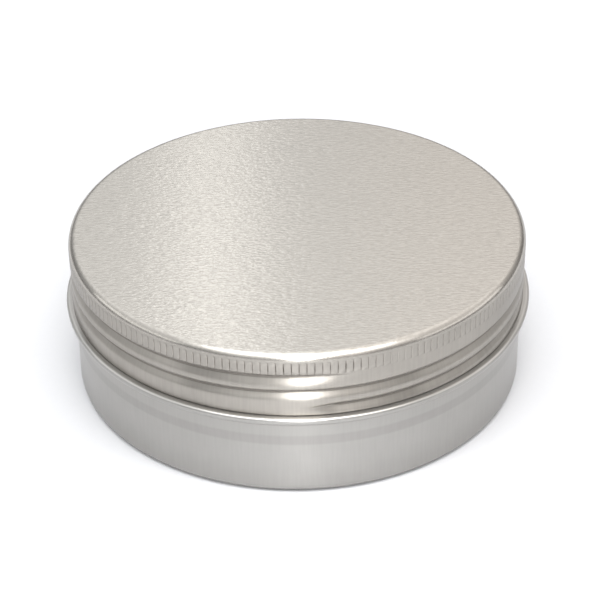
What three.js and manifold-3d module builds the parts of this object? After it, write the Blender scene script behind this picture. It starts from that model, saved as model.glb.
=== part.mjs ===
// Soap travel tin: a round tin of drawn aluminium sheet, closed by a screw lid that seals on its neck
// through a foam disc.
// Millimetres, +Z up, origin at the centre of the underside, -Y is the front.
// An angle round the tin is counted from the front towards +X, and seen from above it runs anticlockwise.

import * as THREE from 'three';
import { mergeGeometries, mergeVertices } from 'three/addons/utils/BufferGeometryUtils.js';
import Module from 'manifold-3d';

const wasm = await Module();
wasm.setup();

// Sheet and smoothness
const SHEET = 0.35; // aluminium sheet that the base and the lid are drawn from
const FACETS = 52; // flats round a full circle
const ARC_ERROR = 0.07; // most that a flat may lie inside the arc it follows

// Base
const BODY_RADIUS = 40.0; // outside of the straight wall
const FOOT_RADIUS = 1.45; // rounding from the wall to the floor
const SHOULDER_HEIGHT = 15.7; // middle of the shoulder bead above the underside
const BEAD_REACH = 1.5; // how far the shoulder bead stands out from the wall
const BEAD_HEIGHT = 1.3; // the bead from its underside to its top
const BEAD_FILLET = 0.45; // hollow rounding from the wall out to the bead
const NECK_FILLET = 0.4; // hollow rounding from the ledge up to the neck
const CURL_RADIUS = 0.6; // rolled rim of the neck

// Lid
const LID_OVERHANG = 0.4; // how far the lid's side lies outside the body's wall
const LID_EDGE_RADIUS = 1.4; // rounding from the flat top to the side
const KNURL_HEIGHT = 2.3; // grip band
const KNURL_COUNT = 200; // notches in the grip band
const KNURL_DEPTH = 0.18;
const KNURL_WIDTH = 0.36;
const KNURL_MARGIN = 0.97; // from the middle of the thread's upper end to the grip band
const HEM_HEIGHT = 0.8; // lower edge, turned in on itself

// Thread: right-hand, one start, rolled into both sheets, with its ends at the front
const THREAD_PITCH = 3.0;
const THREAD_TURNS = 2.02; // on the lid
const THREAD_DEPTH = 0.75; // how far the lid's thread is pressed in
const THREAD_TIP = 0.25; // width at the bottom of the groove
const THREAD_WIDTH = 2.1; // width at the top of the groove
const THREAD_START = 1.18; // middle of the thread's lower end above the lid's lower edge
const THREAD_OVERLAP = 0.2; // how far the two threads reach past each other
const THREAD_FADE = 18; // degrees over which each end of a thread dies away

// Liner
const LINER_THICKNESS = 1.0;
const LINER_GAP = 0.45; // from the liner's edge to the lid's side

// Clearances
const RUNNING_GAP = 0.3; // between the two threads, round and along the axis
const EDGE_GAP = 0.1; // from the shoulder's ledge to the lid's lower edge
const SEAT_GAP = 0.1; // above and below the liner

const FULL_TURN = 2 * Math.PI;
const MERGE_DISTANCE = 1e-4; // corners of a geometry closer than this are one corner of its solid
const point = (radius, height) => new THREE.Vector2(radius, height);

// Heights and radii that follow from the sizes above
const lidRadius = BODY_RADIUS + LID_OVERHANG;
const lidInside = lidRadius - SHEET;
const lidCrest = lidInside - THREAD_DEPTH;
const neckRadius = lidCrest - RUNNING_GAP;
const neckCrest = lidCrest + THREAD_OVERLAP;
const ledgeHeight = SHOULDER_HEIGHT + BEAD_HEIGHT / 2;
const lidBottom = ledgeHeight + EDGE_GAP;
const threadBottom = lidBottom + THREAD_START;
const knurlBottom = threadBottom + THREAD_PITCH * THREAD_TURNS + KNURL_MARGIN;
const knurlTop = knurlBottom + KNURL_HEIGHT;
const lidTop = knurlTop + LID_EDGE_RADIUS;
const linerTop = lidTop - SHEET - SEAT_GAP;
const linerBottom = linerTop - LINER_THICKNESS;
const neckTop = linerBottom - SEAT_GAP;

// The neck's thread lies above the lid's by the half widths of both where they overlap, and a running gap.
const flankSlope = (THREAD_WIDTH - THREAD_TIP) / 2 / THREAD_DEPTH;
const threadLift = THREAD_TIP + flankSlope * THREAD_OVERLAP + RUNNING_GAP;
const neckThreadHeight = neckCrest - neckRadius;
const neckThreadBottom = threadBottom + threadLift;
const neckThreadHalf = THREAD_TIP / 2 + flankSlope * neckThreadHeight;
const neckThreadTurns = (neckTop - 2 * CURL_RADIUS - neckThreadHalf - neckThreadBottom) / THREAD_PITCH;

// Points along an arc, in degrees from the outward direction, as many as keep within the arc's error.
function arc(radius, height, size, from, to) {
  const sweep = Math.abs(to - from);
  const step = THREE.MathUtils.radToDeg(2 * Math.acos(Math.max(0, 1 - ARC_ERROR / size)));
  const start = THREE.MathUtils.degToRad(from);
  const end = THREE.MathUtils.degToRad(to);
  const curve = new THREE.EllipseCurve(radius, height, size, size, start, end, to < from);
  return curve.getPoints(Math.ceil(sweep / step));
}

// A closed solid from a geometry, with shared corners merged and the flat triangles at its poles dropped.
function solid(geometry) {
  const bare = new THREE.BufferGeometry();
  bare.setAttribute('position', geometry.getAttribute('position').clone());
  bare.setIndex(geometry.getIndex());
  const merged = mergeVertices(bare, MERGE_DISTANCE);
  const corners = merged.getIndex().array;
  const kept = [];
  for (let i = 0; i < corners.length; i += 3) {
    const [a, b, c] = corners.slice(i, i + 3);
    if (a !== b && b !== c && c !== a) kept.push(a, b, c);
  }
  const vertProperties = Float32Array.from(merged.getAttribute('position').array);
  return new wasm.Manifold(new wasm.Mesh({ numProp: 3, vertProperties, triVerts: Uint32Array.from(kept) }));
}

// A profile of radius and height, revolved about +Z.
function revolve(profile) {
  return solid(new THREE.LatheGeometry(profile, FACETS).rotateX(Math.PI / 2));
}

// A bar wound up a helix, with a flat tip at one radius and flanks that open out to its root at another.
// Towards each end the tip draws back by `retreat`, so that the bar dies away in the wall at its root.
function helicalBar(tip, root, retreat, bottom, turns) {
  const steps = Math.ceil(turns * FACETS);
  const sides = 4;
  const tipHalf = THREAD_TIP / 2;
  const positions = [];
  for (let step = 0; step <= steps; step++) {
    const turned = Math.min(step / FACETS, turns);
    const fromEnd = Math.min(turned, turns - turned) * 360;
    const tipHere = tip + retreat * (1 - THREE.MathUtils.smoothstep(fromEnd, 0, THREAD_FADE));
    const rootHalf = tipHalf + flankSlope * Math.abs(root - tipHere);
    const section = [
      point(root, -rootHalf),
      point(root, rootHalf),
      point(tipHere, tipHalf),
      point(tipHere, -tipHalf),
    ];
    const angle = turned * FULL_TURN;
    for (const corner of root > tip ? section : section.reverse()) {
      const height = bottom + corner.y + turned * THREAD_PITCH;
      positions.push(corner.x * Math.sin(angle), -corner.x * Math.cos(angle), height);
    }
  }
  const last = steps * sides;
  const index = [0, 1, 2, 0, 2, 3, last, last + 2, last + 1, last, last + 3, last + 2];
  for (let step = 0; step < steps; step++) {
    for (let side = 0; side < sides; side++) {
      const here = step * sides + side;
      const beside = step * sides + (side + 1) % sides;
      index.push(here, here + sides, beside, beside, here + sides, beside + sides);
    }
  }
  const geometry = new THREE.BufferGeometry();
  geometry.setAttribute('position', new THREE.Float32BufferAttribute(positions, 3));
  geometry.setIndex(index);
  return solid(geometry);
}

function mesh(name, shape, material) {
  const { vertProperties, triVerts } = shape.getMesh();
  const geometry = new THREE.BufferGeometry();
  geometry.setAttribute('position', new THREE.BufferAttribute(vertProperties, 3));
  geometry.setIndex(new THREE.BufferAttribute(triVerts, 1));
  geometry.computeVertexNormals();
  const made = new THREE.Mesh(geometry, material);
  made.name = name;
  return made;
}

// Base: floor, wall, shoulder bead, neck and curled rim are one sheet, followed up its outside and back down
// its inside.
function baseCup() {
  const footCentre = BODY_RADIUS - FOOT_RADIUS;
  const beadHalf = BEAD_HEIGHT / 2;
  const beadCentre = BODY_RADIUS + BEAD_REACH - beadHalf;
  const fillet = Math.min(BEAD_FILLET, beadCentre - BODY_RADIUS);
  const filletCentre = BODY_RADIUS + fillet;
  const filletHeight = SHOULDER_HEIGHT - beadHalf - fillet;
  const neckCentre = neckRadius + NECK_FILLET;
  const neckFilletHeight = ledgeHeight + NECK_FILLET;
  const curlCentre = neckRadius - CURL_RADIUS;
  const curlHeight = neckTop - CURL_RADIUS;
  const curlEnd = 360 - THREE.MathUtils.radToDeg(Math.acos((CURL_RADIUS - SHEET) / CURL_RADIUS));

  const profile = [
    point(0, 0),
    ...arc(footCentre, FOOT_RADIUS, FOOT_RADIUS, -90, 0),
    ...arc(filletCentre, filletHeight, fillet, 180, 90),
    ...arc(beadCentre, SHOULDER_HEIGHT, beadHalf, -90, 90),
    ...arc(neckCentre, neckFilletHeight, NECK_FILLET, 270, 180),
    ...arc(curlCentre, curlHeight, CURL_RADIUS, 0, curlEnd),
    ...arc(neckCentre, neckFilletHeight, NECK_FILLET + SHEET, 180, 270),
    ...arc(beadCentre, SHOULDER_HEIGHT, beadHalf - SHEET, 90, -90),
    ...arc(filletCentre, filletHeight, fillet + SHEET, 90, 180),
    ...arc(footCentre, FOOT_RADIUS, FOOT_RADIUS - SHEET, 0, -90),
    point(0, SHEET),
  ];

  const retreat = -neckThreadHeight - SHEET / 4;
  const wind = (tip, root) => helicalBar(tip, root, retreat, neckThreadBottom, neckThreadTurns);
  const ridge = wind(neckCrest, neckRadius - SHEET / 2);
  const hollow = wind(neckCrest - SHEET, neckRadius - 2 * SHEET);
  return revolve(profile).add(ridge).subtract(hollow);
}

// Notches of the grip band: a diamond-section cutter for each, with its inner corner at the notch's bottom.
function knurlCutters() {
  const cutters = [];
  for (let notch = 0; notch < KNURL_COUNT; notch++) {
    const cutter = new THREE.CylinderGeometry(1, 1, KNURL_HEIGHT, 4);
    cutter.rotateX(Math.PI / 2);
    cutter.scale(KNURL_WIDTH, 2 * KNURL_DEPTH, 1);
    cutter.translate(0, -lidRadius - KNURL_DEPTH, (knurlBottom + knurlTop) / 2);
    cutters.push(cutter.rotateZ((notch * FULL_TURN) / KNURL_COUNT));
  }
  return solid(mergeGeometries(cutters));
}

// Lid: top, rounded edge, side and turned-in lower edge are one sheet, followed down its inside and up its
// outside. The thread is pressed in from outside, so a groove there is a ridge inside.
function lidShell() {
  const edgeCentre = lidRadius - LID_EDGE_RADIUS;
  const hemCentre = lidRadius - SHEET;

  const profile = [
    point(0, lidTop - SHEET),
    ...arc(edgeCentre, knurlTop, LID_EDGE_RADIUS - SHEET, 90, 0),
    point(lidInside, lidBottom + HEM_HEIGHT + SHEET),
    point(lidInside - SHEET, lidBottom + HEM_HEIGHT),
    ...arc(hemCentre, lidBottom + SHEET, SHEET, 180, 360),
    ...arc(edgeCentre, knurlTop, LID_EDGE_RADIUS, 0, 90),
    point(0, lidTop),
  ];

  const retreat = THREAD_DEPTH + SHEET / 4;
  const wind = (tip, root) => helicalBar(tip, root, retreat, threadBottom, THREAD_TURNS);
  const ridge = wind(lidCrest, lidInside + SHEET / 2);
  const groove = wind(lidCrest + SHEET, lidRadius + SHEET);
  return revolve(profile).add(ridge).subtract(groove).subtract(knurlCutters());
}

// Liner: a foam disc whose upper edge is squeezed into the rounded edge of the lid.
function lidLiner() {
  const edge = lidInside - LINER_GAP;
  const topEdge = lidRadius - LID_EDGE_RADIUS;
  return revolve([
    point(0, linerBottom),
    point(edge, linerBottom),
    point(edge, (linerBottom + linerTop) / 2),
    point(topEdge, linerTop),
    point(0, linerTop),
  ]);
}

const aluminium = new THREE.MeshStandardMaterial({ color: 0xc9c7c1, roughness: 0.35, metalness: 1 });
const brushedAluminium = new THREE.MeshStandardMaterial({ color: 0xcfccc5, roughness: 0.4, metalness: 1 });
const whiteFoam = new THREE.MeshStandardMaterial({ color: 0xf1f0ec, roughness: 0.85, metalness: 0 });

const tin = new THREE.Group();
tin.add(
  mesh('base_cup', baseCup(), aluminium),
  mesh('lid_shell', lidShell(), brushedAluminium),
  mesh('lid_liner', lidLiner(), whiteFoam),
);

export default tin;
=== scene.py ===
import math
import random

import bmesh
import bpy
from mathutils import Matrix, Vector


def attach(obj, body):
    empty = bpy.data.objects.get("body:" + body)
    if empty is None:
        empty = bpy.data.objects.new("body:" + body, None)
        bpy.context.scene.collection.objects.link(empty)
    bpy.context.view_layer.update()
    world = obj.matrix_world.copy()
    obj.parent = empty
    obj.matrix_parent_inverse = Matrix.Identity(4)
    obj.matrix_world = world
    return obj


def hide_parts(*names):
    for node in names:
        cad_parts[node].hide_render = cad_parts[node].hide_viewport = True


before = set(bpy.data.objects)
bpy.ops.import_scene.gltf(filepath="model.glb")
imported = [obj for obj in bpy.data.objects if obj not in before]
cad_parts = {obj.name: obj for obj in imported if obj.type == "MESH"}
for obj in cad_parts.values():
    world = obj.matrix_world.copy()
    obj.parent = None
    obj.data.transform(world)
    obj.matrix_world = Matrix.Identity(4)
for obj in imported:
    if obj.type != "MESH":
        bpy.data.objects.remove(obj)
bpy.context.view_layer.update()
scene = bpy.context.scene

# The camera stands in front of the tin and looks down on it with a long lens, as the photograph does.
# Place and angles were fitted to the rims seen in the 600 x 600 picture.
PHOTO_SIDE = 600
FOCAL_PIXELS = 2000
SENSOR = 36.0
CAMERA_PLACE = (0.0, -0.30212, 0.21277)
CAMERA_PITCH = math.radians(33.555)
CAMERA_YAW = math.radians(0.067)
CAMERA_ROLL = math.radians(-0.898)

camera = bpy.data.objects.new("camera", bpy.data.cameras.new("camera"))
scene.collection.objects.link(camera)
scene.camera = camera
camera.data.sensor_width = SENSOR
camera.data.lens = SENSOR * FOCAL_PIXELS / PHOTO_SIDE
camera.data.clip_start = 0.01
look = Matrix.Rotation(-CAMERA_YAW, 3, "Z") @ Matrix.Rotation(math.pi / 2 - CAMERA_PITCH, 3, "X")
camera.rotation_euler = (look @ Matrix.Rotation(CAMERA_ROLL, 3, "Z")).to_euler()
camera.location = CAMERA_PLACE
scene.view_settings.view_transform = "Standard"


# The floor is a wide sheet of matt white paper on a light table.
# It is lit from above, and from below by painted light in the paper, dim near the tin and brighter away from
# it, until it is white, so that only the tin's short soft shadow shows on it.
FLOOR_RADIUS = 3.0
FLOOR_DROP = 0.00002
GLOW_NEAR, GLOW_FAR = 0.05, 0.35
GLOW_FROM, GLOW_TO = 0.07, 0.40
PAPER_WHITE = (0.530, 0.534, 0.546, 1.0)
PAPER_FIBRE = (0.510, 0.515, 0.530, 1.0)
FIBRES = 900.0


def add_node(tree, kind, inputs=None, **settings):
    """A node with its settings, where an input is a value or the socket that feeds it."""
    node = tree.nodes.new(kind)
    for name, value in settings.items():
        setattr(node, name, value)
    for name, value in (inputs or {}).items():
        if isinstance(value, bpy.types.NodeSocket):
            tree.links.new(value, node.inputs[name])
        else:
            node.inputs[name].default_value = value
    return node


def bare_material(name):
    """A material with only its output and a Principled BSDF."""
    material = bpy.data.materials.new(name)
    material.use_nodes = True
    tree = material.node_tree
    tree.nodes.clear()
    shader = add_node(tree, "ShaderNodeBsdfPrincipled")
    add_node(tree, "ShaderNodeOutputMaterial", {"Surface": shader.outputs["BSDF"]})
    return material, tree, shader


def mixed(tree, share, first, second):
    """The colour between two colours, by a share from 0 to 1."""
    node = add_node(tree, "ShaderNodeMix", {0: share, 6: first, 7: second}, data_type="RGBA")
    return node.outputs[2]


def ramp(tree, value, from_min, from_max, to_min, to_max):
    """A smooth ramp of a value between two levels."""
    limits = {"From Min": from_min, "From Max": from_max, "To Min": to_min, "To Max": to_max}
    node = add_node(tree, "ShaderNodeMapRange", {"Value": value, **limits}, interpolation_type="SMOOTHSTEP")
    return node.outputs[0]


def math_node(tree, operation, first, second=0.0):
    return add_node(tree, "ShaderNodeMath", {0: first, 1: second}, operation=operation).outputs[0]


def times(tree, first, second):
    return math_node(tree, "MULTIPLY", first, second)


def plus(tree, first, second):
    return math_node(tree, "ADD", first, second)


def add_piece(name, shape, material):
    """An object made from a finished shape, with its place in its mesh."""
    mesh = bpy.data.meshes.new(name)
    shape.to_mesh(mesh)
    shape.free()
    mesh.materials.append(material)
    piece = bpy.data.objects.new(name, mesh)
    scene.collection.objects.link(piece)
    return piece


paper, tree, shader = bare_material("floor_paper")
place = add_node(tree, "ShaderNodeTexCoord").outputs["Object"]
fibre = add_node(tree, "ShaderNodeTexNoise", {"Vector": place, "Scale": FIBRES, "Detail": 3.0})
tree.links.new(mixed(tree, fibre.outputs["Fac"], PAPER_WHITE, PAPER_FIBRE), shader.inputs["Base Color"])
# Painted light: the paper glows, weakly near the tin and more strongly away from it.
away = add_node(tree, "ShaderNodeVectorMath", {0: place}, operation="LENGTH").outputs["Value"]
glow = ramp(tree, away, GLOW_FROM, GLOW_TO, GLOW_NEAR, GLOW_FAR)
tree.links.new(glow, shader.inputs["Emission Color"])
shader.inputs["Emission Strength"].default_value = 1.0
shader.inputs["Roughness"].default_value = 0.9
shader.inputs["Specular IOR Level"].default_value = 0.1

shape = bmesh.new()
bmesh.ops.create_circle(shape, cap_ends=True, segments=128, radius=FLOOR_RADIUS)
bmesh.ops.translate(shape, verts=shape.verts, vec=(0, 0, -FLOOR_DROP))
floor = add_piece("floor", shape, paper)


# The light is a white tent, brightest overhead, dimmer at the left and right, and warmer at the right.
# Each soft lamp in it has one task on the tin or on the paper, which the lines below name.
TENT_LEFT, TENT_RIGHT = (0.98, 0.99, 1.0, 1.0), (1.01, 0.985, 0.970, 1.0)
WARM_FROM, WARM_TO = 0.0, 0.08
TENT_DARK, TENT_LIGHT = 0.35, 1.56
BRIGHT_HEIGHT = 0.85
SIDE_FROM, SIDE_TO, SIDE_SHARE = 0.35, 0.65, 0.68

tent = bpy.data.worlds.new("tent")
tent.use_nodes = True
tree = tent.node_tree
tree.nodes.clear()
direction = add_node(tree, "ShaderNodeTexCoord").outputs["Generated"]
direction = add_node(tree, "ShaderNodeSeparateXYZ", {0: direction}).outputs
strength = ramp(tree, direction["Z"], 0.0, BRIGHT_HEIGHT, TENT_DARK, TENT_LIGHT)
aside = math_node(tree, "ABSOLUTE", direction["X"])
strength = times(tree, strength, ramp(tree, aside, SIDE_FROM, SIDE_TO, 1.0, SIDE_SHARE))
warm = ramp(tree, direction["X"], WARM_FROM, WARM_TO, 0.0, 1.0)
colour = mixed(tree, warm, TENT_LEFT, TENT_RIGHT)
sky = add_node(tree, "ShaderNodeBackground", {"Color": colour, "Strength": strength})
add_node(tree, "ShaderNodeOutputWorld", {"Surface": sky.outputs[0]})
scene.world = tent


def add_lamp(name, place, size, power, tilt=0, lean=0, shape="RECTANGLE", shines=True):
    """A soft lamp that the camera doesn't see, tilted forwards and leant sideways by degrees.
    One that doesn't shine lights only matt surfaces."""
    lamp = bpy.data.objects.new(name, bpy.data.lights.new(name, "AREA"))
    lamp.data.shape = shape
    lamp.data.size, lamp.data.size_y = size
    lamp.data.energy = power
    lamp.location = place
    lamp.rotation_euler = (math.radians(tilt), math.radians(lean), 0)
    lamp.visible_camera = False
    lamp.visible_glossy = shines
    scene.collection.objects.link(lamp)


# Overhead: one for the paper, and two for the white line on the lid's edge and its fading ends.
add_lamp("soft_lamp", (0.0, 0.025, 0.80), size=(0.60, 0.65), power=1.75, shines=False)
add_lamp("round_lamp", (0.0, -0.31, 0.70), size=(0.88, 0.62), power=2.2, shape="ELLIPSE")
add_lamp("wide_lamp", (0.0, -0.31, 0.74), size=(1.30, 0.50), power=1.0, shape="ELLIPSE")
# In front, long and low: the two glints on the thread.
add_lamp("front_lamp", (0.022, -1.85, 0.425), size=(0.31, 3.15), power=15.0, tilt=10)
# At the sides: the line along the bead and the lid's edge.
for name, side in (("left_lamp", -1), ("right_lamp", 1)):
    add_lamp(name, (side * 0.70, -0.09, 0.345), size=(0.15, 0.75), power=0.43, lean=side * 65)
# Behind, tall and narrow: the bright band on the lid's top.
add_lamp("back_lamp", (-0.068, 1.0, 0.75), size=(0.05, 0.5), power=0.09, tilt=-60)
# Close to the paper: the white in front of the tin.
add_lamp("table_lamp", (0.003, -0.05, 0.028), size=(0.05, 0.02), power=0.0082, shines=False)
add_lamp("far_table_lamp", (0.0, -0.12, 0.020), size=(0.05, 0.08), power=0.010, shines=False)


# The base is a cup drawn from one aluminium sheet: floor, straight wall, a rolled shoulder bead that the lid
# comes down to, a narrower neck with the thread rolled into it, and a rim curled inwards.
# The tin's sizes are in millimetres. NEAR is the tolerance of a match, and SEAM the gap that is merged.
MM = 0.001
NEAR, SEAM = 0.01, 0.0001
SHEET = 0.35
BASE_COLUMNS = 360
FLAT_RADIUS = 38.3
BODY_RADIUS = 40.0
BODY_INSIDE = BODY_RADIUS - SHEET
WALL_LOW, WALL_HIGH, WALL_INSIDE_HIGH = 1.6, 14.5, 14.3
BEAD_RADIUS = 41.5
BEAD_INSIDE = BEAD_RADIUS - SHEET
BEAD_BOTTOM, LEDGE = 15.05, 16.35
NECK_RADIUS = 39.0
NECK_INSIDE = NECK_RADIUS - SHEET
NECK_LOW, NECK_HIGH, NECK_ROWS = 17.2, 26.1, 45
NECK_INSIDE_HIGH, NECK_INSIDE_ROWS = 25.5, 31
RIM_BOTTOM, RIM_TOP = 25.61, 26.81
RIM_INSIDE = 37.80
RIM_ROUNDING = 0.59

# Each corner of the section: radius, height, rounding, steps in the rounding, rows on to the next corner.
BASE_SECTION = (
    (0.0, 0.0, 0, 0, 1),
    (FLAT_RADIUS, 0.0, 0, 0, 1),
    (BODY_RADIUS, 0.0, 1.45, 10, 1),
    (BODY_RADIUS, WALL_LOW, 0, 0, 27),
    (BODY_RADIUS, WALL_HIGH, 0, 0, 1),
    (BODY_RADIUS, BEAD_BOTTOM, 0.45, 6, 1),
    (BEAD_RADIUS, BEAD_BOTTOM, 0.64, 8, 1),
    (BEAD_RADIUS, LEDGE, 0.48, 8, 1),
    (NECK_RADIUS, LEDGE, 0.40, 5, 1),
    (NECK_RADIUS, NECK_LOW, 0, 0, NECK_ROWS),
    (NECK_RADIUS, NECK_HIGH, 0, 0, 1),
    (NECK_RADIUS, RIM_TOP, RIM_ROUNDING, 6, 1),
    (RIM_INSIDE, RIM_TOP, RIM_ROUNDING, 6, 1),
    (RIM_INSIDE, RIM_BOTTOM, RIM_ROUNDING, 6, 1),
    (NECK_INSIDE, RIM_BOTTOM, 0, 0, 1),
    (NECK_INSIDE, NECK_INSIDE_HIGH, 0, 0, NECK_INSIDE_ROWS),
    (NECK_INSIDE, NECK_LOW, 0, 0, 1),
    (NECK_INSIDE, LEDGE - SHEET, 0.75, 5, 1),
    (BEAD_INSIDE, LEDGE - SHEET, 0.29, 4, 1),
    (BEAD_INSIDE, BEAD_BOTTOM + SHEET, 0.29, 4, 1),
    (BODY_INSIDE, BEAD_BOTTOM + SHEET, 0.79, 5, 1),
    (BODY_INSIDE, WALL_INSIDE_HIGH, 0, 0, 5),
    (BODY_INSIDE, WALL_LOW, 0, 0, 1),
    (BODY_INSIDE, SHEET, 1.1, 8, 1),
    (FLAT_RADIUS, SHEET, 0, 0, 1),
    (0.0, SHEET, 0, 0, 1),
)


def spun(section, columns):
    """A closed body spun about the tin's axis from the corners of its section, first column at the front."""
    shape = bmesh.new()
    line = [shape.verts.new((0, -radius * MM, height * MM)) for radius, height, *_ in section]
    for pair in zip(line, line[1:]):
        shape.edges.new(pair)
    for corner, (_, _, rounding, steps, _) in zip(line, section):
        if rounding:
            bmesh.ops.bevel(
                shape, geom=[corner], offset=rounding * MM, offset_type="OFFSET", affect="VERTICES",
                segments=steps, profile=0.5, material=-1, clamp_overlap=False,
            )
    for (radius, height, _, _, rows), (next_radius, next_height, *_) in zip(section, section[1:]):
        if rows > 1:
            middle = Vector((0, -(radius + next_radius) / 2, (height + next_height) / 2)) * MM
            edge = min(shape.edges, key=lambda e: ((e.verts[0].co + e.verts[1].co) / 2 - middle).length)
            bmesh.ops.subdivide_edges(shape, edges=[edge], cuts=rows - 1)
    # An eighth is spun, and then doubled three times.
    wedge = math.pi / 4
    bmesh.ops.spin(
        shape, geom=shape.verts[:] + shape.edges[:], cent=(0, 0, 0), axis=(0, 0, 1), dvec=(0, 0, 0),
        angle=wedge, steps=columns // 8,
    )
    for doubling in (1, 2, 4):
        whole = shape.verts[:] + shape.edges[:] + shape.faces[:]
        copy = bmesh.ops.duplicate(shape, geom=whole)["geom"]
        corners = [item for item in copy if isinstance(item, bmesh.types.BMVert)]
        turn = Matrix.Rotation(wedge * doubling, 3, "Z")
        bmesh.ops.rotate(shape, verts=corners, cent=(0, 0, 0), matrix=turn)
    bmesh.ops.remove_doubles(shape, verts=shape.verts, dist=SEAM * MM)
    bmesh.ops.recalc_face_normals(shape, faces=shape.faces)
    for face in shape.faces:
        face.smooth = True
    return shape


def smooth_step(low, high, value):
    share = min(1.0, max(0.0, (value - low) / (high - low)))
    return share * share * (3 - 2 * share)


def polar_angle(point):
    """Degrees round from the front, anticlockwise seen from above."""
    return math.degrees(math.atan2(point.x, -point.y)) % 360


def polar(vert):
    """Radius and height in millimetres, and degrees round from the front."""
    return vert.co.xy.length / MM, vert.co.z / MM, polar_angle(vert.co)


def push(vert, reach):
    """Moves a vertex away from the tin's axis by a reach in millimetres."""
    radius, _, _ = polar(vert)
    vert.co.x *= 1 + reach / radius
    vert.co.y *= 1 + reach / radius


# One thread on the neck and one on the lid, right-hand, with their ends towards the front. An end is narrow
# where it dies away, and the upper end spreads downwards. Flanks are the widths below and above a thread's
# middle.
THREAD_PITCH = 3.0
THREAD_START_FADE, THREAD_END_FADE = 10.0, 14.0
THREAD_THIN = 0.4
END_SPREAD, END_SPREAD_ANGLE = 0.45, 50.0
NECK_THREAD_BOTTOM = 18.43
NECK_THREAD_TURNS = 2.147
NECK_THREAD_HEIGHT = 0.5
NECK_FLANKS = (0.70, 0.70)


def roll_thread(shape, wall, low, high, bottom, turns, flanks, reach, corner=0.25, tip=0.12):
    """Presses a screw thread into one face of a wall, with ends that die away.
    A corner rounds the foot of its flanks, and a tip their crest."""
    for vert in shape.verts:
        radius, height, angle = polar(vert)
        if abs(radius - wall) > NEAR or not low - NEAR < height < high + NEAR:
            continue
        press = 0.0
        for turn in range(math.ceil(turns)):
            wound = angle + 360 * turn
            fade = smooth_step(0, THREAD_START_FADE, wound)
            fade *= smooth_step(0, THREAD_END_FADE, turns * 360 - wound)
            off = height - bottom - THREAD_PITCH * wound / 360
            width = flanks[off > 0] * (THREAD_THIN + (1 - THREAD_THIN) * fade)
            if off < 0:
                width += END_SPREAD * smooth_step(END_SPREAD_ANGLE, 0, turns * 360 - wound)
            flank = 1 - math.hypot(off / width, tip)
            press = max(press, fade * (flank + math.hypot(flank, corner)) / 2)
        push(vert, press * reach / (1 - tip))


LEVEL_NORMAL = 0.99


def map_sheet(shape, radius):
    """A UV map in millimetres: level faces keep their place, and sides are unrolled from a given radius."""
    flat = shape.loops.layers.uv.new("sheet")
    for face in shape.faces:
        level = abs(face.normal.z) > LEVEL_NORMAL
        round_from = polar_angle(face.calc_center_median())
        for loop in face.loops:
            x, y, z = loop.vert.co / MM
            if level:
                loop[flat].uv = (x, y)
            else:
                angle = polar_angle(loop.vert.co) - round_from
                angle = (angle + 180) % 360 - 180 + round_from
                loop[flat].uv = (math.radians(angle) * radius, z)


# The drawing tool left a faint swelling round the wall.
DRAW_RING_HEIGHT = 13.1
DRAW_RING_ABOVE, DRAW_RING_BELOW = 1.3, 2.6
DRAW_RING_REACH = 0.04

shape = spun(BASE_SECTION, BASE_COLUMNS)
for wall, high in ((NECK_RADIUS, NECK_HIGH), (NECK_INSIDE, NECK_INSIDE_HIGH)):
    roll_thread(
        shape, wall, NECK_LOW, high, NECK_THREAD_BOTTOM, NECK_THREAD_TURNS, NECK_FLANKS,
        reach=NECK_THREAD_HEIGHT,
    )
for vert in shape.verts:
    radius, height, _ = polar(vert)
    if WALL_LOW < height < WALL_HIGH and radius > BODY_INSIDE + NEAR:
        swell = smooth_step(DRAW_RING_HEIGHT - DRAW_RING_BELOW, DRAW_RING_HEIGHT, height)
        shrink = smooth_step(DRAW_RING_HEIGHT, DRAW_RING_HEIGHT + DRAW_RING_ABOVE, height)
        push(vert, DRAW_RING_REACH * swell * (1 - shrink))
map_sheet(shape, NECK_RADIUS)


def new_group(name, inputs, outputs):
    """An empty shader node group: its tree, the sockets that feed it, and the sockets it feeds."""
    group = bpy.data.node_groups.new(name, "ShaderNodeTree")
    for socket, kind in inputs.items():
        group.interface.new_socket(socket, in_out="INPUT", socket_type=kind)
    for socket, kind in outputs.items():
        group.interface.new_socket(socket, in_out="OUTPUT", socket_type=kind)
    return group, group.nodes.new("NodeGroupInput").outputs, group.nodes.new("NodeGroupOutput").inputs


def group_node(tree, name, inputs):
    """A group placed in a material, and its outputs."""
    node = tree.nodes.new("ShaderNodeGroup")
    node.node_tree = bpy.data.node_groups[name]
    for socket, source in inputs.items():
        tree.links.new(source, node.inputs[socket])
    return node.outputs


def stretched_noise(tree, place, spacing, detail):
    """Noise whose grains have a given size along each axis."""
    scale = [1 / size for size in spacing]
    place = add_node(tree, "ShaderNodeMapping", {"Vector": place, "Scale": scale}).outputs[0]
    noise = add_node(tree, "ShaderNodeTexNoise", {"Vector": place, "Scale": 1.0, "Detail": detail})
    return noise.outputs["Fac"]


# Grain of rolled sheet: short streaks along the rolling direction, with finer ones that catch the light.
VALUE, VECTOR = "NodeSocketFloat", "NodeSocketVector"
COARSE_STREAK, FINE_STREAK = (1.9, 0.42, 1.0), (0.85, 0.22, 1.0)
GRAIN_LEVELS = (0.35, 0.65)
tree, entry, leaves = new_group("rolled_grain", {"Place": VECTOR}, {"Streak": VALUE, "Height": VALUE})
coarse = stretched_noise(tree, entry["Place"], COARSE_STREAK, 2.0)
fine = stretched_noise(tree, entry["Place"], FINE_STREAK, 1.0)
both = plus(tree, times(tree, coarse, 0.5), times(tree, fine, 0.5))
tree.links.new(ramp(tree, both, *GRAIN_LEVELS, 0.0, 1.0), leaves["Streak"])
tree.links.new(both, leaves["Height"])

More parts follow.
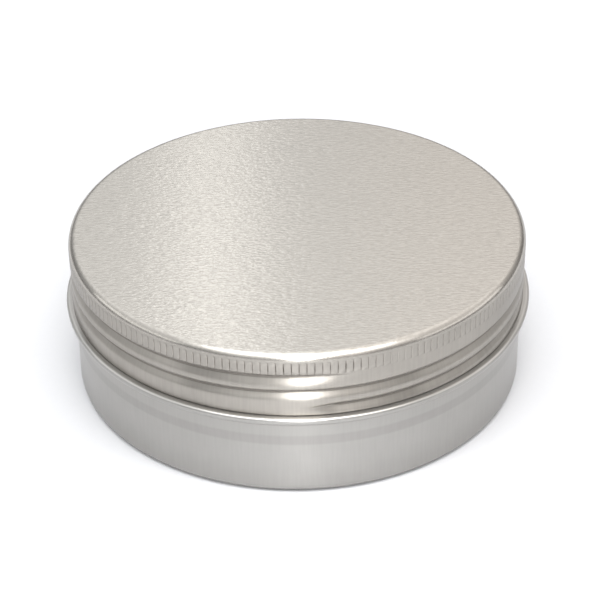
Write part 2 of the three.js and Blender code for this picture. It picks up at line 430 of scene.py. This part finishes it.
# Marks of drawing on the sides: faint upright lines, and slow cloudy changes.
DRAWN_LINE, DRAWN_CLOUD = (0.45, 7.0, 1.0), (9.0, 5.0, 1.0)
DRAWN_LEVELS = (0.3, 0.7)
marks = {"Tone": VALUE, "Cloud": VALUE, "Height": VALUE}
tree, entry, leaves = new_group("draw_marks", {"Place": VECTOR}, marks)
line = stretched_noise(tree, entry["Place"], DRAWN_LINE, 2.0)
cloud = stretched_noise(tree, entry["Place"], DRAWN_CLOUD, 2.0)
cloud = ramp(tree, cloud, *DRAWN_LEVELS, 0.0, 1.0)
tone = plus(tree, ramp(tree, line, *DRAWN_LEVELS, 0.0, 0.5), times(tree, cloud, 0.5))
tree.links.new(tone, leaves["Tone"])
tree.links.new(cloud, leaves["Cloud"])
tree.links.new(line, leaves["Height"])

# Specks of dust and tiny dents, few and far between: about one cell in ten has one in its middle.
SPECK_CELLS = 420.0
SPECK_CHOICE, SPECK_EDGE = (0.90, 0.92), (0.05, 0.12)
tree, entry, leaves = new_group("specks", {"Place": VECTOR}, {"Speck": VALUE})
cells = add_node(tree, "ShaderNodeTexVoronoi", {"Vector": entry["Place"], "Scale": SPECK_CELLS})
chosen = add_node(tree, "ShaderNodeSeparateColor", {0: cells.outputs["Color"]}).outputs[0]
chosen = ramp(tree, chosen, *SPECK_CHOICE, 0.0, 1.0)
middle = ramp(tree, cells.outputs["Distance"], *SPECK_EDGE, 1.0, 0.0)
tree.links.new(times(tree, middle, chosen), leaves["Speck"])

# Place on a round piece in millimetres: its height, and its distance from the tin's axis.
tree, entry, leaves = new_group("round_place", {"Place": VECTOR}, {"Height": VALUE, "Radius": VALUE})
axes = add_node(tree, "ShaderNodeSeparateXYZ", {0: entry["Place"]}).outputs
across = add_node(tree, "ShaderNodeCombineXYZ", {0: axes["X"], 1: axes["Y"]}).outputs[0]
away = add_node(tree, "ShaderNodeVectorMath", {0: across}, operation="LENGTH").outputs["Value"]
tree.links.new(times(tree, axes["Z"], 1 / MM), leaves["Height"])
tree.links.new(times(tree, away, 1 / MM), leaves["Radius"])


def between(tree, value, low, high, soft):
    """1 where a value lies between two levels, with soft edges outside them."""
    rise = ramp(tree, value, low - soft, low, 0.0, 1.0)
    return times(tree, rise, ramp(tree, value, high, high + soft, 1.0, 0.0))


def dark_line(tree, spot, heights, soft, radii, share):
    """A share of painted shade between two heights, which is full inside the first radius and ends at the
    second.
    """
    band = between(tree, spot["Height"], *heights, soft)
    return times(tree, band, ramp(tree, spot["Radius"], *radii, share, 0.0))


# The colour of painted shade, mixed in at creases, gaps, under the bead, at the foot and on the lid's sides.
PAINTED_SHADE = (0.085, 0.072, 0.060, 1.0)
GRAIN_HEIGHT = 0.07
DRAW_HEIGHT_SHARE = 0.05
SPECK_SHARE = 0.8
CLOUD_ROUGHNESS = 0.02
GRAIN_END = 0.4
SIDE_BEGIN, SIDE_FULL = 0.6, 1.4


def satin_aluminium(name, level, light, dark, side_shade, side_roughness, level_roughness, glance=1.0):
    """Drawn aluminium: rolling grain on the faces at one level, marks of drawing on the sides, and painted
    shade that darkens the sides by a share.
    """
    material, tree, shader = bare_material(name)
    place = add_node(tree, "ShaderNodeTexCoord").outputs["Object"]
    sheet = add_node(tree, "ShaderNodeUVMap", uv_map="sheet").outputs[0]
    spot = group_node(tree, "round_place", {"Place": place})
    grain = group_node(tree, "rolled_grain", {"Place": sheet})
    drawn = group_node(tree, "draw_marks", {"Place": sheet})
    speck = group_node(tree, "specks", {"Place": place})["Speck"]
    off_level = math_node(tree, "ABSOLUTE", math_node(tree, "SUBTRACT", spot["Height"], level))
    flat = ramp(tree, off_level, 0.0, GRAIN_END, 1.0, 0.0)
    side = math_node(tree, "SUBTRACT", 1.0, flat)
    wall = ramp(tree, off_level, SIDE_BEGIN, SIDE_FULL, 0.0, 1.0)

    tone = plus(tree, times(tree, grain["Streak"], flat), times(tree, drawn["Tone"], side))
    tone = math_node(tree, "SUBTRACT", tone, times(tree, speck, SPECK_SHARE))
    # Painted shade: the sides are darkened towards the shade colour by side_shade.
    colour = mixed(tree, times(tree, wall, side_shade), mixed(tree, tone, dark, light), PAINTED_SHADE)
    roughness = ramp(tree, wall, 0.0, 1.0, level_roughness, side_roughness)
    roughness = plus(tree, roughness, times(tree, drawn["Cloud"], CLOUD_ROUGHNESS))
    tree.links.new(roughness, shader.inputs["Roughness"])

    height = times(tree, drawn["Height"], times(tree, side, DRAW_HEIGHT_SHARE))
    height = plus(tree, times(tree, grain["Height"], flat), height)
    relief = {"Height": height, "Distance": GRAIN_HEIGHT * MM, "Strength": 1.0}
    bump = add_node(tree, "ShaderNodeBump", relief)
    tangent = add_node(tree, "ShaderNodeTangent", direction_type="UV_MAP", uv_map="sheet")
    tree.links.new(bump.outputs[0], shader.inputs["Normal"])
    tree.links.new(tangent.outputs[0], shader.inputs["Tangent"])
    shader.inputs["Metallic"].default_value = 1.0
    shader.inputs["Specular Tint"].default_value = (glance, glance, glance, 1.0)
    shader.inputs["Anisotropic"].default_value = 0.9
    shader.inputs["Anisotropic Rotation"].default_value = 0.25
    return material, tree, shader, spot, colour


# The base's colours are set darker than the lid's: painted shade on the same aluminium.
base_metal, tree, shader, spot, colour = satin_aluminium(
    "base_satin_aluminium", level=0.0, light=(0.418, 0.407, 0.389, 1.0), dark=(0.388, 0.378, 0.360, 1.0),
    side_shade=0.0, side_roughness=0.28, level_roughness=0.24,
)
# Painted shade: a dark band painted round the wall as a reflection, lines under the bead and on the ledge,
# and contact shade at the foot. The wall is also darker towards the bottom.
RING_BAND, RING_SOFT, RING_SHARE = (10.45, 11.75), 0.55, 0.12
UNDER_BEAD, UNDER_BEAD_RADII, UNDER_BEAD_SHARE = (14.25, 14.6), (40.1, 40.3), 0.35
LEDGE_BAND, LEDGE_RADII, LEDGE_SHARE = (16.3, 16.7), (40.75, 41.05), 0.24
LINE_SOFT = 0.2
FOOT_BAND, FOOT_SHARE = (0.2, 0.9), 0.6
LOW_DARK_BAND, LOW_DARK_SHARE = (1.5, 7.5), 0.10
ring = times(tree, between(tree, spot["Height"], *RING_BAND, RING_SOFT), RING_SHARE)
under_bead = dark_line(tree, spot, UNDER_BEAD, LINE_SOFT, UNDER_BEAD_RADII, UNDER_BEAD_SHARE)
ledge = dark_line(tree, spot, LEDGE_BAND, LINE_SOFT, LEDGE_RADII, LEDGE_SHARE)
foot = ramp(tree, spot["Height"], *FOOT_BAND, FOOT_SHARE, 0.0)
foot = plus(tree, foot, ramp(tree, spot["Height"], *LOW_DARK_BAND, LOW_DARK_SHARE, 0.0))
shade_share = plus(tree, plus(tree, ring, under_bead), plus(tree, ledge, foot))
colour = mixed(tree, shade_share, colour, PAINTED_SHADE)
# A painted highlight: a bright line along the crest of the bead.
PAINTED_HIGHLIGHT = (0.82, 0.80, 0.76, 1.0)
CREST_RADII, CREST_HEIGHTS, CREST_SHARE = (41.1, 41.2), (16.1, 16.18), 0.4
crest = ramp(tree, spot["Radius"], *CREST_RADII, 0.0, CREST_SHARE)
crest = times(tree, crest, ramp(tree, spot["Height"], *CREST_HEIGHTS, 0.0, 1.0))
tree.links.new(mixed(tree, crest, colour, PAINTED_HIGHLIGHT), shader.inputs["Base Color"])

base = add_piece("base_cup_drawn", shape, base_metal)
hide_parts("base_cup")
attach(base, "base")


# The liner is a disc of white closed-cell foam, cut to fit inside the lid and pressed into its top.
# The neck's curled rim leaves a shallow grey ring in its lower face.
LINER_COLUMNS = 240
LINER_LOW, LINER_HIGH = 26.91, 27.91
LINER_MIDDLE = (LINER_LOW + LINER_HIGH) / 2
LINER_RADIUS = 39.6
LINER_TOP_RADIUS, LINER_TOP_FLAT = 39.0, 38.4
RING_FROM, RING_TO, RING_ROWS = 36.0, 39.2, 25
LINER_SECTION = (
    (0.0, LINER_LOW, 0, 0, 1),
    (RING_FROM, LINER_LOW, 0, 0, RING_ROWS),
    (RING_TO, LINER_LOW, 0, 0, 1),
    (LINER_RADIUS, LINER_LOW, 0.2, 4, 1),
    (LINER_RADIUS, LINER_MIDDLE, 0.15, 3, 1),
    (LINER_TOP_RADIUS, LINER_HIGH, 0.2, 3, 1),
    (LINER_TOP_FLAT, LINER_HIGH, 0, 0, 1),
    (0.0, LINER_HIGH, 0, 0, 1),
)
PRESSED_RADIUS, PRESSED_HALF, PRESSED_DEPTH = 38.4, 0.6, 0.08
FOAM_WHITE, FOAM_SHADE = (0.86, 0.86, 0.83, 1.0), (0.74, 0.74, 0.71, 1.0)
FOAM_MARK, MARK_SHARE = (0.52, 0.51, 0.49, 1.0), 0.5
MARK_HALF, MARK_SOFT = 0.25, 0.3
MARK_HEIGHTS = (LINER_LOW + 0.1, LINER_LOW + 0.2)
FOAM_CELLS, FOAM_CLOUDS = 2400.0, 160.0
PORE_EDGE, PORE_SHARE, PORE_DEPTH = 0.35, 0.7, 0.05
FOAM_CLOUD_SHARE = 0.3
FOAM_ROUGHNESS = (0.9, 0.7)

shape = spun(LINER_SECTION, LINER_COLUMNS)
for vert in shape.verts:
    radius, height, _ = polar(vert)
    off = abs(radius - PRESSED_RADIUS) / PRESSED_HALF
    if off < 1 and height < LINER_LOW + NEAR:
        vert.co.z += PRESSED_DEPTH * MM * math.cos(math.pi / 2 * off) ** 2

foam, tree, shader = bare_material("white_foam")
place = add_node(tree, "ShaderNodeTexCoord").outputs["Object"]
cells = add_node(
    tree, "ShaderNodeTexVoronoi", {"Vector": place, "Scale": FOAM_CELLS}, feature="DISTANCE_TO_EDGE",
).outputs["Distance"]
cloud = add_node(tree, "ShaderNodeTexNoise", {"Vector": place, "Scale": FOAM_CLOUDS, "Detail": 3.0})
cloud = cloud.outputs["Fac"]
pore = ramp(tree, cells, 0.0, PORE_EDGE, 0.0, PORE_SHARE)
tone = plus(tree, pore, times(tree, cloud, FOAM_CLOUD_SHARE))
colour = mixed(tree, tone, FOAM_SHADE, FOAM_WHITE)
spot = group_node(tree, "round_place", {"Place": place})
mark = between(tree, spot["Radius"], PRESSED_RADIUS - MARK_HALF, PRESSED_RADIUS + MARK_HALF, MARK_SOFT)
mark = times(tree, mark, ramp(tree, spot["Height"], *MARK_HEIGHTS, MARK_SHARE, 0.0))
tree.links.new(mixed(tree, times(tree, mark, cloud), colour, FOAM_MARK), shader.inputs["Base Color"])
tree.links.new(ramp(tree, pore, 0.0, PORE_SHARE, *FOAM_ROUGHNESS), shader.inputs["Roughness"])
bump = add_node(tree, "ShaderNodeBump", {"Height": pore, "Distance": PORE_DEPTH * MM, "Strength": 0.6})
tree.links.new(bump.outputs[0], shader.inputs["Normal"])
liner = add_piece("liner_foam_disc", shape, foam)
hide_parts("lid_liner")
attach(liner, "liner")


# The lid is drawn from one aluminium sheet: a flat top, a rounded edge, a knurled grip band, a thread that
# is pressed in from outside and screws it down on the neck, and a lower edge turned in on itself.
LID_COLUMNS = 600
LID_RADIUS = 40.40
LID_INSIDE, LID_INSIDE_HIGH = LID_RADIUS - SHEET, 26.8
LID_BOTTOM, LID_TOP = 16.45, 28.36
LID_FLAT = 38.9
HEM_INSIDE, HEM_TOP = LID_INSIDE - SHEET, 17.25
KNURL_LOW, KNURL_HIGH = 24.56, 26.90
KNURL_END = 0.1
KNURL_COUNT = 200
KNURL_DEPTH, KNURL_LEAST = 0.11, 0.75
KNURL_WIDTH = 0.26
KNURL_BLANK_ANGLE, KNURL_BLANK_SPREAD, KNURL_BLANK_SHARE = 24.0, 4.0, 0.5
UPRIGHT = 0.05
LID_THREAD_BOTTOM = 17.90
LID_THREAD_TURNS = 2.04
LID_THREAD_DEPTH = 0.75
LID_FLANKS = (1.30, 0.72)
GROOVE_LOW, GROOVE_HIGH, GROOVE_ROWS = 16.75, KNURL_LOW - KNURL_END, 84
RIDGE_LOW, RIDGE_HIGH, RIDGE_ROWS = 17.6, 24.5, 21

LID_SECTION = (
    (0.0, LID_TOP - SHEET, 0, 0, 1),
    (LID_FLAT, LID_TOP - SHEET, 0, 0, 1),
    (LID_INSIDE, LID_TOP - SHEET, 1.05, 6, 1),
    (LID_INSIDE, LID_INSIDE_HIGH, 0, 0, 1),
    (LID_INSIDE, RIDGE_HIGH, 0, 0, RIDGE_ROWS),
    (LID_INSIDE, RIDGE_LOW, 0, 0, 1),
    (HEM_INSIDE, HEM_TOP, 0, 0, 1),
    (HEM_INSIDE, LID_BOTTOM, 0.34, 5, 1),
    (LID_RADIUS, LID_BOTTOM, 0.2, 4, 1),
    (LID_RADIUS, GROOVE_LOW, 0, 0, GROOVE_ROWS),
    (LID_RADIUS, GROOVE_HIGH, 0, 0, 1),
    (LID_RADIUS, KNURL_LOW + KNURL_END, 0, 0, 3),
    (LID_RADIUS, KNURL_HIGH - KNURL_END, 0, 0, 1),
    (LID_RADIUS, LID_TOP, 1.4, 12, 1),
    (LID_FLAT, LID_TOP, 0, 0, 1),
    (0.0, LID_TOP, 0, 0, 1),
)


def knurl(shape):
    """Presses the grip band's notches in, each with a column at its bottom and one at each side."""
    uneven = random.Random(4)
    depths = [KNURL_DEPTH * uneven.uniform(KNURL_LEAST, 1.0) for _ in range(KNURL_COUNT)]
    step = 360 / KNURL_COUNT
    half = math.degrees(KNURL_WIDTH / 2 / LID_RADIUS)
    sides = set()
    for vert in shape.verts:
        radius, height, angle = polar(vert)
        if radius < LID_RADIUS - NEAR or not KNURL_LOW < height < KNURL_HIGH + NEAR:
            continue
        sides.update(vert.link_edges)
        column = round(angle * 3 / step)
        notch = (column + 1) // 3 % KNURL_COUNT
        beside = (column + 1) % 3 - 1
        if beside:
            turn = math.radians(beside * (half - step / 3))
            vert.co = Matrix.Rotation(turn, 3, "Z") @ vert.co
        else:
            off = (angle - KNURL_BLANK_ANGLE + 180) % 360 - 180
            blank = math.exp(-((off / KNURL_BLANK_SPREAD) ** 2))
            push(vert, -depths[notch] * (1 - KNURL_BLANK_SHARE * blank))
    for edge in sides:
        low, high = sorted(vert.co.z / MM for vert in edge.verts)
        if KNURL_LOW < low and high < KNURL_HIGH + NEAR and high - low > UPRIGHT:
            edge.smooth = False


shape = spun(LID_SECTION, LID_COLUMNS)
for wall, low, high in ((LID_INSIDE, RIDGE_LOW, RIDGE_HIGH), (LID_RADIUS, GROOVE_LOW, GROOVE_HIGH)):
    roll_thread(
        shape, wall, low, high, LID_THREAD_BOTTOM, LID_THREAD_TURNS, LID_FLANKS, reach=-LID_THREAD_DEPTH,
    )
knurl(shape)
map_sheet(shape, LID_RADIUS)

lid_metal, tree, shader, spot, colour = satin_aluminium(
    "lid_satin_aluminium", level=LID_TOP, light=(0.544, 0.516, 0.474, 1.0), dark=(0.464, 0.440, 0.403, 1.0),
    side_shade=0.27, side_roughness=0.28, level_roughness=0.19, glance=0.8,
)
# Painted shade in the creases at the bottom of the thread and of the grip band's notches.
CREASE_RADII, CREASE_SHARE = (39.68, 39.79), 0.48
NOTCH_RADII, NOTCH_SHARE = (40.32, 40.39), 0.45
CREASE_SOFT = 0.1
crease_shade = dark_line(tree, spot, (GROOVE_LOW, GROOVE_HIGH), CREASE_SOFT, CREASE_RADII, CREASE_SHARE)
notch = dark_line(tree, spot, (KNURL_LOW, KNURL_HIGH), CREASE_SOFT, NOTCH_RADII, NOTCH_SHARE)
tree.links.new(mixed(tree, plus(tree, crease_shade, notch), colour, PAINTED_SHADE), shader.inputs["Base Color"])
lid = add_piece("lid_shell_drawn", shape, lid_metal)
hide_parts("lid_shell")
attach(lid, "lid")
